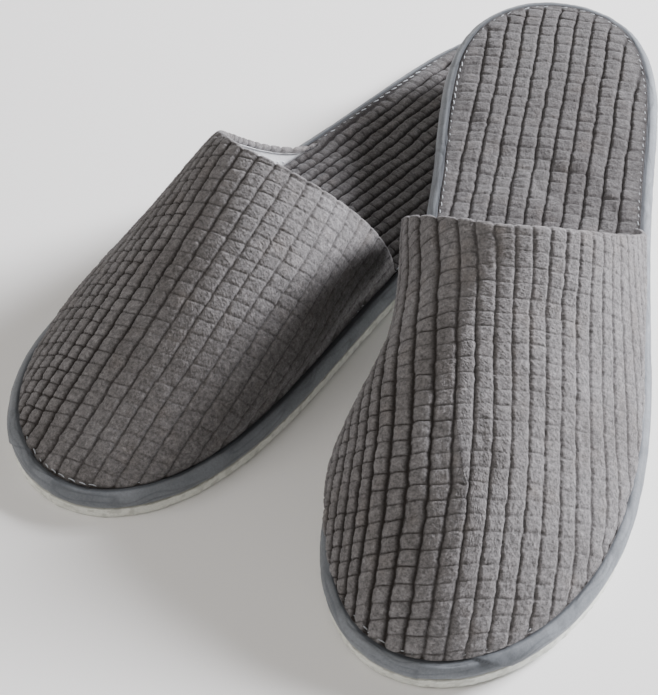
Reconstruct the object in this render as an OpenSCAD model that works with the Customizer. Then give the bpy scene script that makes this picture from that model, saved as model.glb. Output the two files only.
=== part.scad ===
// A pair of closed-toe spa slippers: the left slipper lies with its heel
// across the heel of the right one, which stands flat on the floor.
// Row frame: +Y from the toes to the heels, +Z up, floor at z = 0,
// origin under the middle of the pair.
// Each slipper is drawn in its own frame first: toe tip at y = 0, heel at
// y = sole_length, +x towards the outer side of the foot, z = 0 under the sole.

/* [Sole outline] */
// length of each slipper from toe tip to heel
sole_length = 285; // [270:1:300]
// full width across the ball of the foot
ball_width = 87; // [82:1:94]
// how far the inner edge of the sole is drawn in at the arch
waist = 4; // [3:0.5:4.5]
// how far the toe and heel tips swing towards the inner side of the foot
toe_bow = 3.3; // [0:0.1:4.5]

/* [Sole layers] */
// thickness of the foam outsole
outsole_t = 4; // [3.6:0.2:5]
// depth of the cross grooves under the outsole
tread_depth = 0.7; // [0.4:0.1:1.2]
// spacing of the cross grooves
tread_pitch = 8; // [6:0.5:12]
// thickness of the stiff insole board
board_t = 0.8; // [0.6:0.1:1.2]
// thickness of the insole sponge
foam_t = 1.8; // [1.6:0.1:2.6]
// thickness of the waffle fabric over the insole
cover_t = 1.8; // [1.6:0.1:2.4]
// width of the binding tape seen from above
binding_w = 4.6; // [4.2:0.1:6]
// thickness of the folded binding tape
binding_t = 1.3; // [1.1:0.1:1.5]

/* [Upper] */
// thickness of the waffle fabric of the upper
shell_t = 2; // [1.6:0.1:2.4]
// thickness of the sponge behind it
padding_t = 2.4; // [1.8:0.1:2.8]
// thickness of the lining
lining_t = 0.6; // [0.5:0.1:0.8]
// distance from the toe tip at which the vamp ridge starts
ridge_start = 44; // [38:1:50]
// height of the ridge there, left slipper
left_ridge_h = 35; // [32:1:40]
// height of the ridge there, right slipper
right_ridge_h = 34; // [30:1:38]
// where the opening meets the sole on the left slipper's inner side, from the toe tip
left_inner_reach = 170; // [156:1:180]
// the same on its outer side
left_outer_reach = 180; // [170:1:186]
// distance of the top of the opening from the toe tip, left slipper
left_crest_y = 114; // [106:1:122]
// height of the top of the opening, left slipper
left_crest_h = 65.5; // [60:0.5:70]
// sideways slump of the ridge, left slipper, towards the inner side when negative
left_lean = -4; // [-6:0.5:4]
// how far the inner wall of the left upper swells out
left_inner_swell = 10.5; // [9:0.5:11]
// how far its outer wall swells out
left_outer_swell = 4; // [3:0.5:8]
// how far the crown of the left vamp has slumped towards the inner side
left_crown_shift = 7.5; // [6:0.5:8]
// how far the inner wall is drawn in just below the left opening
left_inner_waist = 6; // [5:0.5:7]
// sag of the outer edge of the left opening towards the toe
left_opening_sag = 2.5; // [0:0.5:4]
// where the opening meets the sole on the right slipper's inner side, pushed forward by the other slipper
right_inner_reach = 143; // [134:1:144]
// the same on its outer side
right_outer_reach = 182; // [170:1:186]
// distance of the top of the opening from the toe tip, right slipper
right_crest_y = 101; // [96:1:108]
// height of the top of the opening, right slipper
right_crest_h = 66; // [58:0.5:66]
// sideways slump of the ridge, right slipper, towards the inner side when negative
right_lean = -1; // [-2:0.5:2]
// how far the inner wall of the right upper swells out
right_inner_swell = 4.5; // [3:0.5:4.5]
// how far its outer wall swells out
right_outer_swell = 1.5; // [0.5:0.5:4]
// slimness of the right slipper's outer wall, larger is flatter
right_outer_slim = 1.6; // [1.2:0.1:1.7]
// how far the inner edge of the right opening bows back towards the heel
right_opening_bow = 3; // [0:0.5:6]
// sag of the outer edge of the right opening towards the toe
right_opening_sag = 11; // [8:1:12]

/* [How the pair lies] */
// turn of each slipper away from the middle line
splay = 14; // [13:0.1:15]
// slope of the left slipper, its heel resting on the right one
stack_angle = 5.7; // [5.7:0.1:7]
// sideways place of the left toe tip
left_toe_x = 68.1; // [68.1:0.1:74]
// lengthways place of the left toe tip
left_toe_y = -146.6; // [-148:0.1:-145]
// sideways place of the right toe tip
right_toe_x = -68.3; // [-74:0.1:-68.3]
// lengthways place of the right toe tip
right_toe_y = -127.9; // [-129:0.1:-127]

/* [Hidden] */
eps = 0.1;
ns = 84;                                  // steps round the sole
na = 15;                                  // arches from toe to opening
nf = 8;                                   // steps from seam to ridge
board_z = outsole_t + eps;
foam_z = board_z + board_t + eps;
cover_z = foam_z + foam_t + eps;
rim_z = cover_z + cover_t - 0.1;          // top of the binding
seam_z = rim_z + 0.8;                     // foot of the upper
fabric = [0.40, 0.38, 0.37];
tape = [0.47, 0.50, 0.54];
eva = [0.80, 0.80, 0.73];
white = [0.92, 0.93, 0.94];
sponge = [0.90, 0.89, 0.84];
boardc = [0.62, 0.56, 0.47];
thread = [0.78, 0.80, 0.82];

// inner reach, outer reach, crest y, crest height, lean, inner swell, outer swell,
// ridge start height, slimness of the arches over the toes and at the opening,
// bow of the inner opening edge, slimness of the outer wall, slimness at the toe,
// power of the rise, where the swell starts, its height up the wall, shift of the
// crown, power of the ridge line, waist of the inner wall, bow of the outer
// opening edge and where it is deepest
LEFT = [left_inner_reach, left_outer_reach, left_crest_y, left_crest_h,
        left_lean, left_inner_swell, left_outer_swell, left_ridge_h, 1.33, 0.85, 0, 1.62,
        0.94, 1.32, 0.2, 0.54, -left_crown_shift, 0.95, left_inner_waist, -left_opening_sag, 1];
RIGHT = [right_inner_reach, right_outer_reach, right_crest_y, right_crest_h,
         right_lean, right_inner_swell, right_outer_swell, right_ridge_h, 1.2, 1, right_opening_bow, right_outer_slim,
         1.2, 1, 0.3, 0.7, 0, 1.15, 0, -right_opening_sag, 0.5];

// ---- sole outline, t = 0 at the toe, 180 at the heel, positive side outer
function hw(t) = ball_width*(0.531*sin(t) + 0.0286*sin(2*t) + 0.0834*sin(3*t) - 0.0194*sin(4*t)) - waist/2*pow(sin(t), 7);
function dhw(t) = ball_width*(0.531*cos(t) + 0.0572*cos(2*t) + 0.2502*cos(3*t) - 0.0776*cos(4*t)) - waist*3.5*pow(sin(t), 6)*cos(t);
function spine(t) = -2.1*cos(t) - toe_bow*cos(2*t) - 1.2*cos(3*t);
function cx(t) = spine(t) + waist/2*pow(sin(t), 6);
function dcx(t) = 2.1*sin(t) + 2*toe_bow*sin(2*t) + 3.6*sin(3*t) + waist*3*pow(sin(t), 5)*cos(t);
function tangent(t) = [dcx(t) + dhw(t), sole_length/2*sin(t)];
function out_n(t) = let (v = tangent(t)) [v[1], -v[0]]/norm(v);
function edge(t) = [cx(t) + hw(t), sole_length/2*(1 - cos(t))];
function rim(t, d) = edge(t) - d*out_n(t);
function s2t(s) = acos(1 - 2*s/sole_length);
module plan(d) polygon([for (i = [0:ns - 1]) rim(360*i/ns, d)]);
module slab(z, h, d) translate([0, 0, z]) linear_extrude(height = h) plan(d);

// ---- upper surface: e = 0 toe path .. 1 opening, u = 0 seam .. 1 ridge,
// side = 1 outer, -1 inner, d and dz the layer's depth at the seam and elsewhere
function smooth(x) = let (y = max(0, min(1, x))) y*y*(3 - 2*y);
function up_pt(c, e, u, side, d, dz) =
  let (t = side*e*s2t(side > 0 ? c[1] : c[0]),
       f = 90*pow(u, 1.4),
       p = rim(t, binding_w + 0.1 + d),
       n = out_n(t),
       mid = c[12] + ((side > 0 ? c[11] : c[8]) - c[12])*smooth(e/0.3),
       full = mid + (c[9] - mid)*smooth((e - 0.45)/0.55),
       a = 1 - pow(cos(f), full),
       b = pow(sin(f), full*c[13]),
       q = ridge_start + (c[2] - ridge_start)*pow(e, 1.2),
       k = max(0, min(1, (c[2] - q)/(c[2] - ridge_start))),
       drop = c[3] - c[7],
       zq = c[3] - dz - drop*pow(k, c[17]),
       g = c[17]*drop/(c[2] - ridge_start)*pow(k, 0.15),
       lam = 0.3 + 0.7*e*e,
       m = g*(1 - lam)*(q - p[1])/(zq - seam_z),
       qx = spine(s2t(q)) + c[4]*e + c[16]*sin(180*e),
       sw = 2.2 + ((side > 0 ? c[6] : c[5]) - 2.2)*smooth((e - c[14])/0.6) - (dz - d)
            - (side > 0 ? 0 : c[18])*pow(sin(180*max(0, min(1, (e - 0.5)/0.5))), 2),
       bump = sw*sin(180*pow(f/90, c[15])),
       y = p[1] + (q - p[1])*(a*(1 - lam) + b*lam) + (side < 0 ? c[10]*sin(180*b) : c[19]*sin(180*pow(b, c[20])))*pow(e, 6))
  [p[0] + (qx - p[0])*a + n[0]*bump,
   y + n[1]*bump,
   seam_z + (zq - seam_z)*(b*(1 - m) + a*m)];

// ---- closed layer between two depths, e from 0 (toe) to em
function lay_pts(c, em, d, dz) = concat(
  [for (j = [0:nf]) up_pt(c, 0, 1 - j/nf, 1, d, dz)],
  [for (i = [1:na]) for (j = [-nf:nf]) up_pt(c, em*i/na, 1 - abs(j)/nf, j < 0 ? -1 : 1, d, dz)]);
function ix(i, j) = i == 0 ? abs(j) : nf + 1 + (i - 1)*(2*nf + 1) + j + nf;
np = nf + 1 + na*(2*nf + 1);
function quad(a, b, c, d) = a == d ? [[a, b, c]] : b == c ? [[a, b, d]] : [[a, b, c], [a, c, d]];
function skin(o, flip) = [for (i = [0:na - 1]) for (j = [-nf:nf - 1])
  for (q = flip ? quad(o + ix(i, j), o + ix(i, j + 1), o + ix(i + 1, j + 1), o + ix(i + 1, j))
                : quad(o + ix(i, j), o + ix(i + 1, j), o + ix(i + 1, j + 1), o + ix(i, j + 1))) q];
module layer(c, em, d0, z0, d1, z1)
  polyhedron(points = concat(lay_pts(c, em, d0, z0), lay_pts(c, em, d1, z1)),
    faces = concat(skin(0, false), skin(np, true),
      // opening edge
      [for (j = [-nf:nf - 1]) for (q = quad(ix(na, j), np + ix(na, j), np + ix(na, j + 1), ix(na, j + 1))) q],
      // seam edges
      [for (i = [0:na - 1]) for (q = quad(ix(i, nf), ix(i + 1, nf), np + ix(i + 1, nf), np + ix(i, nf))) q],
      [for (i = [0:na - 1]) for (q = quad(ix(i, -nf), np + ix(i, -nf), np + ix(i + 1, -nf), ix(i + 1, -nf))) q]),
    convexity = 6);

// ---- thread run across an arch, a closed ribbon between two depths
nt = nf - 1;
function strip_u(j) = 1 - abs(j)/nf;
module hem_run(c, e0, e1, d0, z0, d1, z1)
  polyhedron(points = [for (j = [-nt:nt]) let (s = j < 0 ? -1 : 1, u = strip_u(j))
      each [up_pt(c, e0, u, s, d0, z0), up_pt(c, e1, u, s, d0, z0), up_pt(c, e1, u, s, d1, z1), up_pt(c, e0, u, s, d1, z1)]],
    faces = concat(
      [for (j = [0:2*nt - 1]) for (k = [0:3]) let (a = 4*j + k, b = 4*j + (k + 1)%4) each [[a, a + 4, b + 4], [a, b + 4, b]]],
      [[0, 1, 2], [0, 2, 3]], [[8*nt, 8*nt + 2, 8*nt + 1], [8*nt, 8*nt + 3, 8*nt + 2]]),
    convexity = 6);

// ---- closed run round the sole, prof = [inset, height] points
module ring(prof)
  let (m = len(prof))
  polyhedron(points = [for (i = [0:ns - 1]) for (q = prof) let (p = rim(360*i/ns, q[0])) [p[0], p[1], q[1]]],
    faces = [for (i = [0:ns - 1]) for (k = [0:m - 1])
      let (a = i*m + k, b = i*m + (k + 1)%m, c = ((i + 1)%ns)*m + k, d = ((i + 1)%ns)*m + (k + 1)%m)
      each [[a, b, d], [a, d, c]]],
    convexity = 6);

// ---- the pieces of one slipper
module outsole() difference() {
  slab(0, outsole_t, 0.3);
  for (y = [32:tread_pitch:156]) translate([-70, y, -1]) cube([140, 1.6, 1 + tread_depth]);
  for (y = [206:tread_pitch:262]) translate([-70, y, -1]) cube([140, 1.6, 1 + tread_depth]);
}
module insole_board() slab(board_z, board_t, 1.7);
module insole_foam() slab(foam_z, foam_t, 1.9);
module insole_cover() union() {
  slab(cover_z, 0.5, 1.9);
  slab(cover_z, cover_t, binding_w + 0.3);
}
module edge_binding() ring([[binding_t, board_z], [0.1, board_z], [-0.3, board_z + 1.6],
  [0, rim_z - 1.7], [0.7, rim_z - 0.5], [2, rim_z], [3.6, rim_z],
  [binding_w, rim_z - 0.4], [binding_w, rim_z - 1.1], [binding_t, rim_z - 1.1]]);
module binding_stitching() ring([[3.6, rim_z + 0.45], [3.2, rim_z + 0.1], [4, rim_z + 0.1]]);
module upper_shell(c) layer(c, 1, 0, 0, 1.5, shell_t);
module upper_padding(c) layer(c, 0.985, 1.95, shell_t + 2*eps, 2.7, shell_t + eps + padding_t);
module upper_lining(c) layer(c, 0.985, 2.8, shell_t + padding_t + 2*eps, 3.4, shell_t + padding_t + lining_t + 2*eps);
module topline_stitching(c) hem_run(c, 0.925, 0.932, 3.9, shell_t + padding_t + lining_t + 6*eps,
  4.5, shell_t + padding_t + lining_t + 6*eps + 0.6);

// ---- how each slipper lies
module lay_left() translate([left_toe_x, left_toe_y, 0]) rotate([0, 0, splay]) rotate([stack_angle, 0, 0]) children();
module lay_right() translate([right_toe_x, right_toe_y, 0]) rotate([0, 0, -splay]) mirror([1, 0, 0]) children();

module left_outsole() color(eva) lay_left() outsole();
module left_insole_board() color(boardc) lay_left() insole_board();
module left_insole_foam() color(sponge) lay_left() insole_foam();
module left_insole_cover() color(fabric) lay_left() insole_cover();
module left_edge_binding() color(tape) lay_left() edge_binding();
module left_binding_stitching() color(thread) lay_left() binding_stitching();
module left_upper_shell() color(fabric) lay_left() upper_shell(LEFT);
module left_upper_padding() color(sponge) lay_left() upper_padding(LEFT);
module left_upper_lining() color(white) lay_left() upper_lining(LEFT);
module left_topline_stitching() color(thread) lay_left() topline_stitching(LEFT);
module right_outsole() color(eva) lay_right() outsole();
module right_insole_board() color(boardc) lay_right() insole_board();
module right_insole_foam() color(sponge) lay_right() insole_foam();
module right_insole_cover() color(fabric) lay_right() insole_cover();
module right_edge_binding() color(tape) lay_right() edge_binding();
module right_binding_stitching() color(thread) lay_right() binding_stitching();
module right_upper_shell() color(fabric) lay_right() upper_shell(RIGHT);
module right_upper_padding() color(sponge) lay_right() upper_padding(RIGHT);
module right_upper_lining() color(white) lay_right() upper_lining(RIGHT);
module right_topline_stitching() color(thread) lay_right() topline_stitching(RIGHT);

left_outsole();
left_insole_board();
left_insole_foam();
left_insole_cover();
left_edge_binding();
left_binding_stitching();
left_upper_shell();
left_upper_padding();
left_upper_lining();
left_topline_stitching();
right_outsole();
right_insole_board();
right_insole_foam();
right_insole_cover();
right_edge_binding();
right_binding_stitching();
right_upper_shell();
right_upper_padding();
right_upper_lining();
right_topline_stitching();
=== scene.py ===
import bpy, math
import numpy as np
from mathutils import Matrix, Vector


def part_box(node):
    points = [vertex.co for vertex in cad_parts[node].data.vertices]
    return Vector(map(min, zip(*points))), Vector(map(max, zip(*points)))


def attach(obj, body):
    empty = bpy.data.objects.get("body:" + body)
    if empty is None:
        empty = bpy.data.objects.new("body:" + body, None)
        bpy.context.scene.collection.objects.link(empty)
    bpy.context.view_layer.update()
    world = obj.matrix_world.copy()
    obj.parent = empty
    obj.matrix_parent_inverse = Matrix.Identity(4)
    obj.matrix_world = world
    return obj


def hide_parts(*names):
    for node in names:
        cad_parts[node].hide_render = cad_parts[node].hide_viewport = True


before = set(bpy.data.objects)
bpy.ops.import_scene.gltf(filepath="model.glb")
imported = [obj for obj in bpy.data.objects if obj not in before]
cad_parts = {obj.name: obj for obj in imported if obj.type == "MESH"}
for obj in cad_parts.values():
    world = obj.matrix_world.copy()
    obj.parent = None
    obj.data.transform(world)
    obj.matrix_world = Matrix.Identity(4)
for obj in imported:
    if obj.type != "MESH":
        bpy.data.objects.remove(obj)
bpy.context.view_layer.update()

# ------------------------------------------------------------------ shape of one slipper
# own frame, millimetres: toe tip at y = 0, heel at y = L, +x to the outer side, z = 0 under the sole
L = 285.; BW = 87.; BOW = 3.3
OUT = 4.; EPS = .1; BOARD = .8; FOAM = 1.8; COVER = 1.8; BINDW = 4.6
board_z = OUT + EPS; foam_z = board_z + BOARD + EPS; cover_z = foam_z + FOAM + EPS
rim_z = cover_z + COVER - .1; seam_z = rim_z + .8
RS = 44.
LEFT = dict(inner=170, outer=180, cy=114, ch=65.5, lean=-4, si=10.5, so=4, f0=.94, fm=1.33, fmo=1.62, ft=.85, kb=1.32, s0=.2, bp=.54, sh=-7.5, rp=.95, rh=35, bow=0, wa=6., bo=-2.5, bx=1.)
RIGHT = dict(inner=143, outer=182, cy=101, ch=66, lean=-1, si=4.5, so=1.5, f0=1.2, fm=1.2, fmo=1.6, ft=1.0, kb=1., s0=.3, bp=.7, sh=0., rp=1.15, rh=34, bow=3., wa=0., bo=-11., bx=.5)
SPLAY, STACK = 14., 5.7
TOE = {"left": (68.1, -146.6), "right": (-68.3, -127.9)}


WAIST = 4.


def hw(t): return BW*(0.531*np.sin(t) + 0.0286*np.sin(2*t) + 0.0834*np.sin(3*t) - 0.0194*np.sin(4*t)) - WAIST/2*np.sin(t)**7
def dhw(t): return BW*(0.531*np.cos(t) + 0.0572*np.cos(2*t) + 0.2502*np.cos(3*t) - 0.0776*np.cos(4*t)) - WAIST*3.5*np.sin(t)**6*np.cos(t)
def spine(t): return -2.1*np.cos(t) - BOW*np.cos(2*t) - 1.2*np.cos(3*t)
def cx(t): return spine(t) + WAIST/2*np.sin(t)**6
def dcx(t): return 2.1*np.sin(t) + 2*BOW*np.sin(2*t) + 3.6*np.sin(3*t) + WAIST*3*np.sin(t)**5*np.cos(t)


def nrm(t):
    tx = dcx(t) + dhw(t); ty = L/2*np.sin(t); k = np.hypot(tx, ty)
    return ty/k, -tx/k


def rim(t, d):
    nx, ny = nrm(t)
    return cx(t) + hw(t) - d*nx, L/2*(1 - np.cos(t)) - d*ny


def s2t(s): return np.arccos(np.clip(1 - 2*s/L, -1, 1))
def smooth(x): y = np.clip(x, 0, 1); return y*y*(3 - 2*y)


def up(c, e, u, side, d=0., dz=0.):
    t = side*e*s2t(np.where(side > 0, c['outer'], c['inner'])); f = np.pi/2*u**1.4
    px, py = rim(t, BINDW + .1 + d); nx, ny = nrm(t)
    fm = c['f0'] + (np.where(side > 0, c['fmo'], c['fm']) - c['f0'])*smooth(e/.3)
    FU = fm + (c['ft'] - fm)*smooth((e - .45)/.55)
    cf = np.clip(np.cos(f), 0, 1); sf = np.clip(np.sin(f), 0, 1)
    a = 1 - cf**FU; b = sf**(FU*c['kb'])
    q = RS + (c['cy'] - RS)*e**1.2; k = np.clip((c['cy'] - q)/(c['cy'] - RS), 0, 1)
    drop = c['ch'] - c['rh']; zq = c['ch'] - dz - drop*k**c['rp']; g = c['rp']*drop/(c['cy'] - RS)*k**.15
    lam = .3 + .7*e*e; qx = spine(s2t(q)) + c['lean']*e + c['sh']*np.sin(np.pi*e)
    m = g*(1 - lam)*(q - py)/(zq - seam_z)
    sw = 2.2 + (np.where(side > 0, c['so'], c['si']) - 2.2)*smooth((e - c['s0'])/.6) - (dz - d) - np.where(side > 0, 0., c['wa'])*np.sin(np.pi*np.clip((e - .5)/.5, 0, 1))**2
    bump = sw*np.sin(np.pi*(f/(np.pi/2))**c['bp'])
    y = py + (q - py)*(a*(1 - lam) + b*lam) + np.where(side < 0, c['bow']*np.sin(np.pi*b), c['bo']*np.sin(np.pi*b**c['bx']))*e**6
    return np.stack(np.broadcast_arrays(px + (qx - px)*a + nx*bump, y + ny*bump,
                                        seam_z + (zq - seam_z)*(b*(1 - m) + a*m)), -1)


def lay(P, which):
    P = np.asarray(P, float); s = math.radians(SPLAY); lx, ly = TOE[which]
    if which == "left":
        b = math.radians(STACK)
        y = P[..., 1]*math.cos(b) - P[..., 2]*math.sin(b); z = P[..., 1]*math.sin(b) + P[..., 2]*math.cos(b)
        return np.stack([P[..., 0]*math.cos(s) - y*math.sin(s) + lx, P[..., 0]*math.sin(s) + y*math.cos(s) + ly, z], -1)
    X = -P[..., 0]
    return np.stack([X*math.cos(s) + P[..., 1]*math.sin(s) + lx, -X*math.sin(s) + P[..., 1]*math.cos(s) + ly, P[..., 2]], -1)


# the frame says where each slipper lies: shift onto the box of its outsole
SHIFT = {}
tt = np.linspace(0, 2*np.pi, 721)[:-1]
for w in ("left", "right"):
    x, y = rim(tt, .3)
    ring0 = np.concatenate([np.stack([x, y, np.zeros_like(x)], 1), np.stack([x, y, np.full_like(x, OUT)], 1)])
    q = lay(ring0, w)
    lo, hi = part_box(w + "_outsole")
    SHIFT[w] = (np.array(lo) + np.array(hi))*500. - (q.min(0) + q.max(0))/2
    SHIFT[w][np.abs(SHIFT[w]) > 1.] = 0.


# ------------------------------------------------------------------ small tools
def table_noise(x, y, seed):
    r = np.random.default_rng(seed).random((64, 64))*2 - 1
    xi = np.floor(x).astype(int); yi = np.floor(y).astype(int); fx = x - xi; fy = y - yi
    fx = fx*fx*(3 - 2*fx); fy = fy*fy*(3 - 2*fy)
    a = r[xi % 64, yi % 64]; b = r[(xi + 1) % 64, yi % 64]; c = r[xi % 64, (yi + 1) % 64]; d = r[(xi + 1) % 64, (yi + 1) % 64]
    return (a*(1 - fx) + b*fx)*(1 - fy) + (c*(1 - fx) + d*fx)*fy


def cell_rand(k, m, seed):
    r = np.random.default_rng(seed).random((97, 89))
    return r[np.asarray(k).astype(int) % 97, np.asarray(m).astype(int) % 89]


def weld(V, faces, attrs, tol=2e-3):
    """Joins points that coincide and drops the faces that collapse."""
    key = np.round(V/tol).astype(np.int64)
    _, first, inv = np.unique(key, axis=0, return_index=True, return_inverse=True)
    inv = inv.ravel()
    V = V[first]; attrs = {k: a[first] for k, a in attrs.items()}
    quads, tris = [], []
    for F in faces:
        F = inv[F]
        if F.shape[1] == 3:
            ok = (F[:, 0] != F[:, 1]) & (F[:, 1] != F[:, 2]) & (F[:, 2] != F[:, 0]); tris.append(F[ok]); continue
        e = [F[:, i] == F[:, (i + 1) % 4] for i in range(4)]
        n = sum(x.astype(int) for x in e)
        quads.append(F[(n == 0) & (F[:, 0] != F[:, 2]) & (F[:, 1] != F[:, 3])])
        for i in range(4):
            G = F[(n == 1) & e[i]]
            if len(G):
                idx = [j for j in range(4) if j != (i + 1) % 4]
                G = G[:, idx]; ok = (G[:, 0] != G[:, 1]) & (G[:, 1] != G[:, 2]) & (G[:, 2] != G[:, 0]); tris.append(G[ok])
    quads = np.concatenate(quads) if quads else np.zeros((0, 4), int)
    tris = np.concatenate(tris) if tris else np.zeros((0, 3), int)
    return V, quads, tris, attrs


def build(name, V, faces, which, mat, attrs=None, flip=False):
    """A mesh object from points in the slipper's own frame, laid where that slipper lies."""
    attrs = attrs or {}
    V, quads, tris, attrs = weld(np.asarray(V, float), faces, attrs)
    P = (lay(V, which) + SHIFT[which])*.001
    if flip ^ (which == "right"):
        quads = quads[:, ::-1]; tris = tris[:, ::-1]
    me = bpy.data.meshes.new(name)
    me.vertices.add(len(P)); me.vertices.foreach_set("co", P.astype(np.float32).ravel())
    loops = np.concatenate([quads.ravel(), tris.ravel()]).astype(np.int32)
    me.loops.add(len(loops)); me.loops.foreach_set("vertex_index", loops)
    starts = np.concatenate([np.arange(len(quads))*4, len(quads)*4 + np.arange(len(tris))*3]).astype(np.int32)
    me.polygons.add(len(starts)); me.polygons.foreach_set("loop_start", starts)
    me.update(calc_edges=True); me.validate()
    me.polygons.foreach_set("use_smooth", np.ones(len(me.polygons), bool))
    for k, a in attrs.items():
        at = me.attributes.new(k, 'FLOAT', 'POINT'); at.data.foreach_set("value", a.astype(np.float32))
    me.materials.append(mat)
    ob = bpy.data.objects.new(name, me); bpy.context.scene.collection.objects.link(ob)
    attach(ob, which + "_slipper")
    return ob


def grid_faces(n, m, base=0, wrap=False):
    i, j = np.meshgrid(np.arange(n - 1), np.arange(m if wrap else m - 1), indexing="ij")
    j2 = (j + 1) % m
    return np.stack([base + i*m + j, base + (i + 1)*m + j, base + (i + 1)*m + j2, base + i*m + j2], -1).reshape(-1, 4)


def unit(v): return v/np.maximum(np.linalg.norm(v, axis=-1, keepdims=True), 1e-9)


def cubic(A, pos, axis):
    """Catmull-Rom sampling of A at fractional positions along an axis."""
    A = np.moveaxis(A, axis, 0); n = len(A)
    i = np.clip(np.floor(pos).astype(int), 0, n - 2); f = (pos - i).reshape((-1,) + (1,)*(A.ndim - 1))
    def g(k):
        k = np.asarray(k); lo = A[np.clip(k, 0, n - 1)]
        r = np.where((k < 0).reshape(f.shape), 2*A[0] - A[1], lo)
        return np.where((k > n - 1).reshape(f.shape), 2*A[n - 1] - A[n - 2], r)
    a, b, c, d = g(i - 1), g(i), g(i + 1), g(i + 2)
    R = b + .5*f*(c - a + f*(2*a - 5*b + 4*c - d + f*(3*(b - c) + d - a)))
    return np.moveaxis(R, 0, axis)


# ------------------------------------------------------------------ cloth lying on the upper
def flatten(P, T, U, iters=60):
    """Lays a curved sheet flat with the least stretch, so ribs can run straight in the cloth."""
    n = len(P); A, B, C = P[T[:, 0]], P[T[:, 1]], P[T[:, 2]]
    ex = unit(B - A); nz = unit(np.cross(B - A, C - A)); ey = np.cross(nz, ex)
    X = np.stack([np.zeros((len(T), 2)), np.stack([((B - A)*ex).sum(1), np.zeros(len(T))], 1),
                  np.stack([((C - A)*ex).sum(1), ((C - A)*ey).sum(1)], 1)], 1)
    cot = np.zeros((len(T), 3))
    for k in range(3):
        o = X[:, k]; p = X[:, (k + 1) % 3] - o; q = X[:, (k + 2) % 3] - o
        cr = np.maximum(np.abs(p[:, 0]*q[:, 1] - p[:, 1]*q[:, 0]), 1e-6)
        cot[:, k] = np.clip((p*q).sum(1)/cr, .02, 20)      # opposite edge k+1,k+2
    W = np.zeros((n, n))
    for k in range(3):
        i, j = T[:, (k + 1) % 3], T[:, (k + 2) % 3]
        np.add.at(W, (i, j), cot[:, k]); np.add.at(W, (j, i), cot[:, k])
    Lc = np.diag(W.sum(1)) - W
    inv = np.linalg.inv(Lc[1:, 1:] + 1e-9*np.eye(n - 1))
    for _ in range(iters):
        S = np.zeros((len(T), 2, 2))
        for k in range(3):
            i, j = (k + 1) % 3, (k + 2) % 3
            du = U[T[:, i]] - U[T[:, j]]; dx = X[:, i] - X[:, j]
            S += cot[:, k, None, None]*du[:, :, None]*dx[:, None, :]
        th = np.arctan2(S[:, 1, 0] - S[:, 0, 1], S[:, 0, 0] + S[:, 1, 1])
        R = np.stack([np.stack([np.cos(th), -np.sin(th)], 1), np.stack([np.sin(th), np.cos(th)], 1)], 1)
        b = np.zeros((n, 2))
        for k in range(3):
            i, j = (k + 1) % 3, (k + 2) % 3
            v = cot[:, k, None]*np.einsum('tab,tb->ta', R, X[:, i] - X[:, j])
            np.add.at(b, T[:, i], v); np.add.at(b, T[:, j], -v)
        U = np.concatenate([np.zeros((1, 2)), inv@(b[1:])])
    return U


def coarse_upper(c, ni=32, nj=18):
    """Coarse net of the upper with its points numbered once: i from toe path to opening, j across."""
    e = np.linspace(0, 1, ni + 1); j = np.arange(-nj, nj + 1)
    E, J = np.meshgrid(e, j, indexing="ij"); u = 1 - np.abs(J)/nj; side = np.where(J < 0, -1., 1.)
    P = up(c, E, u, side)
    idx = np.zeros(E.shape, int); idx[0] = np.abs(j); k = nj + 1
    for i in range(1, ni + 1):
        idx[i] = np.arange(k, k + 2*nj + 1); k += 2*nj + 1
    return E, J, P, idx, k


def upper_uv(c, ni=32, nj=18):
    E, J, P, idx, n = coarse_upper(c, ni, nj)
    pts = np.zeros((n, 3)); pts[idx.ravel()] = P.reshape(-1, 3)
    # first guess: each arch unrolled straight out from the ridge
    rp = P[:, nj][:, None]; sp = np.where((J < 0)[..., None], P[:, :1], P[:, -1:])
    dirv = unit((sp - rp)[..., :2]); seg = np.linalg.norm(np.diff(P, axis=1), axis=2)
    arc = np.concatenate([np.zeros((ni + 1, 1)), np.cumsum(seg, 1)], 1); arc = np.abs(arc - arc[:, nj:nj + 1])
    G = rp[..., :2] + dirv*arc[..., None]; G[0, :nj] = G[0, nj + 1:][::-1]
    g = np.zeros((n, 2)); g[idx.ravel()] = G.reshape(-1, 2)
    T = []
    for i in range(ni):
        for jj in range(2*nj):
            a, b, cc, d = idx[i, jj], idx[i + 1, jj], idx[i + 1, jj + 1], idx[i, jj + 1]
            for t in ((a, b, cc), (a, cc, d)) if jj >= nj else ((a, b, d), (b, cc, d)):
                if len(set(t)) == 3: T.append(t)
    T = np.array(T)
    q = g[T]; area = ((q[:, 1, 0] - q[:, 0, 0])*(q[:, 2, 1] - q[:, 0, 1]) - (q[:, 1, 1] - q[:, 0, 1])*(q[:, 2, 0] - q[:, 0, 0]))
    T[area < 0] = T[area < 0][:, ::-1] if area.sum() > 0 else T[area < 0]
    if area.sum() < 0: T = T[:, ::-1]
    # one winding for all, seen from above
    uv = flatten(pts, T, g.copy())
    UV = uv[idx]
    r0, r1 = UV[ni//4, nj], UV[ni, nj]; d = unit((r1 - r0)[None])[0]
    R = np.array([[d[1], -d[0]], [d[0], d[1]]])
    UV = (UV - r1)@R.T
    return UV


def spread(knots, step):
    """Rib number as a function of the cloth coordinate: measured ribs, then an even step outside them."""
    K = np.asarray(knots, float); a = K[0] - step*np.arange(14, 0, -1); b = K[-1] + step*np.arange(1, 15)
    K = np.concatenate([a, K, b]); return lambda U: np.interp(U, K, np.arange(len(K)))


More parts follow.
